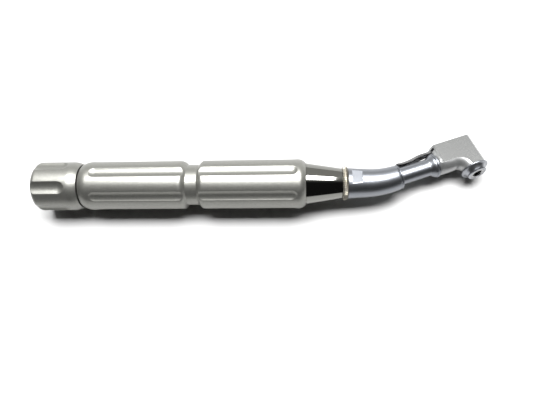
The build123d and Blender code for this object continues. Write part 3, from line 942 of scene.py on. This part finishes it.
@dataclass
class Inside:
    """The CAD nodes that stay as they are: shafts, gears, bushes and fasteners."""

    axes: dict[str, Axes]

    def dress_all(self) -> None:
        """Gives each inner node its metal, with the grain turned about its own shaft."""
        handle, neck = self.axes["handle"], self.axes["neck"]
        chuck = self.axes["head"].spun()
        plan = (
            (GROUND, handle, ("drive_shaft", "knob_screw", "shaft_circlip")),
            (GROUND, neck, ("middle_shaft",)),
            (GEAR, handle, ("input_gear",)),
            (GEAR, neck, ("middle_gear", "middle_pinion")),
            (GEAR, chuck, ("chuck_gear",)),
            (BRONZE, handle, ("rear_bush", "front_bush", "sheath_bush")),
            (BRONZE, neck, ("middle_rear_bush", "middle_front_bush")),
            (BRONZE, chuck, ("chuck_lower_bush", "chuck_upper_bush")),
            (POLYMER, handle, ("knob_washer",)),
            (LATCH, chuck, ("latch_pin",)),
        )
        for finish, axes, nodes in plan:
            for node in nodes:
                dress(frame["nodes"][node], finish, axes)
                log.info("%s dressed in %s", node, finish.name)


# ---------------------------------------------------------------- studio

@dataclass
class Studio:
    """A pale bench, one large soft light above and behind the tool, and a camera above it."""

    handle: Axes
    lens: float = 32.96
    stand_x: float = 63.1
    height: float = 137.28
    tilt: float = 31.24
    yaw: float = 4.289
    pitch: float = -1.860
    roll: float = -0.590
    bench_half: float = 3.0
    bench_tone: float = 0.47
    key_place: tuple[float, float, float] = (0.02, 0.215, 0.56)
    key_size: tuple[float, float] = (0.55, 0.25)
    key_power: float = 13.0

    def camera(self) -> None:
        """Aims the camera: it stands off the handle, leans towards the bend, and is turned a little."""
        tilt = np.radians(self.tilt)
        up = np.cos(tilt) * self.handle.back + np.sin(tilt) * self.handle.side
        towards = np.cos(tilt) * self.handle.side - np.sin(tilt) * self.handle.back
        yaw, pitch, roll = np.radians([self.yaw, self.pitch, self.roll])
        turn_y = np.array([[np.cos(yaw), 0, np.sin(yaw)], [0, 1, 0], [-np.sin(yaw), 0, np.cos(yaw)]])
        turn_x = np.array([[1, 0, 0], [0, np.cos(pitch), -np.sin(pitch)], [0, np.sin(pitch), np.cos(pitch)]])
        turn_z = np.array([[np.cos(roll), -np.sin(roll), 0], [np.sin(roll), np.cos(roll), 0], [0, 0, 1]])
        facing = np.stack([self.handle.along, up, towards], axis=1) @ turn_y @ turn_x @ turn_z
        lens = bpy.data.cameras.new("studio_camera")
        lens.lens = self.lens
        lens.sensor_width = 36.0
        lens.clip_start = 0.005
        eye = bpy.data.objects.new("studio_camera", lens)
        bpy.context.scene.collection.objects.link(eye)
        place = np.eye(4)
        place[:3, :3] = facing
        place[:3, 3] = self.handle.origin + MM * (self.stand_x * self.handle.along + self.height * towards)
        eye.matrix_world = Matrix(place.tolist())
        bpy.context.scene.camera = eye

    def bench(self) -> None:
        """The bench top: a wide pale plane."""
        size = self.bench_half
        corners = np.array([[-size, -size, 0], [size, -size, 0], [size, size, 0], [-size, size, 0]])
        mesh = bpy.data.meshes.new("bench_top")
        mesh.from_pydata(corners, [], [(0, 1, 2, 3)])
        top = bpy.data.objects.new("bench_top", mesh)
        bpy.context.scene.collection.objects.link(top)
        made = bpy.data.materials.new("pale_bench")
        made.use_nodes = True
        shader = made.node_tree.nodes["Principled BSDF"]
        shader.inputs["Base Color"].default_value = (*[self.bench_tone] * 3, 1)
        shader.inputs["Roughness"].default_value = 0.85
        shader.inputs["Specular IOR Level"].default_value = 0.1
        mesh.materials.append(made)

    @staticmethod
    def lamp(name: str, place: Sequence[float], size: tuple[float, float], power: float) -> None:
        """Hangs a rectangular soft light at a place, facing the middle of the tool.

        Args:
            name: the light's name.
            place: where it hangs, in metres.
            size: its width and height, in metres.
            power: its power, in watts.
        """
        data = bpy.data.lights.new(name, "AREA")
        data.shape = "RECTANGLE"
        data.size, data.size_y = size
        data.energy = power
        light = bpy.data.objects.new(name, data)
        bpy.context.scene.collection.objects.link(light)
        spot = np.array(place, float)
        back = unit(spot)
        right = unit(np.cross((0, 1, 0), back))
        up = np.cross(back, right)
        turn = np.eye(4)
        turn[:3, :3] = np.stack([right, up, back], axis=1)
        turn[:3, 3] = spot
        light.matrix_world = Matrix(turn.tolist())

    def lights(self) -> None:
        """The key light stands behind and above the tool; the sky is dim, and a little brighter behind it."""
        self.lamp("key_light", self.key_place, self.key_size, self.key_power)
        world = bpy.data.worlds.new("dim_room")
        bpy.context.scene.world = world
        world.use_nodes = True
        tree = world.node_tree
        place = tree.nodes.new("ShaderNodeTexCoord")
        split = tree.nodes.new("ShaderNodeSeparateXYZ")
        ramp = tree.nodes.new("ShaderNodeValToRGB")
        spread = tree.nodes.new("ShaderNodeMapRange")
        tree.links.new(place.outputs["Generated"], split.inputs[0])
        spread.inputs["From Min"].default_value = -1.0
        tree.links.new(split.outputs["Y"], spread.inputs["Value"])
        tree.links.new(spread.outputs["Result"], ramp.inputs["Fac"])
        ramp.color_ramp.elements[0].position = 0.45
        ramp.color_ramp.elements[0].color = (0.02, 0.02, 0.02, 1)
        ramp.color_ramp.elements[1].position = 0.8
        ramp.color_ramp.elements[1].color = (0.72, 0.72, 0.70, 1)
        tree.links.new(ramp.outputs["Color"], tree.nodes["Background"].inputs["Color"])
        bpy.context.scene.view_settings.view_transform = "Standard"


def main() -> None:
    """Builds the pieces from the knob to the head, dresses what is inside, and sets up the studio."""
    logging.basicConfig(level=logging.INFO, format="%(message)s")
    axes = bench_axes()
    handle = Handle(axes["handle"])
    nose = Nose(axes["handle"])
    neck = Neck(axes["neck"])
    head = Head(axes["head"])
    builders = (
        handle.grip, handle.knob, nose.polished_cone, nose.locking_ring, Sheath(axes["handle"]).shell,
        neck.tube, neck.ring, head.housing, head.cap, head.chuck, head.latch,
    )
    for build in builders:
        build()
    Inside(axes).dress_all()
    studio = Studio(axes["handle"])
    studio.bench()
    studio.lights()
    studio.camera()


if __name__ == "__main__":
    main()
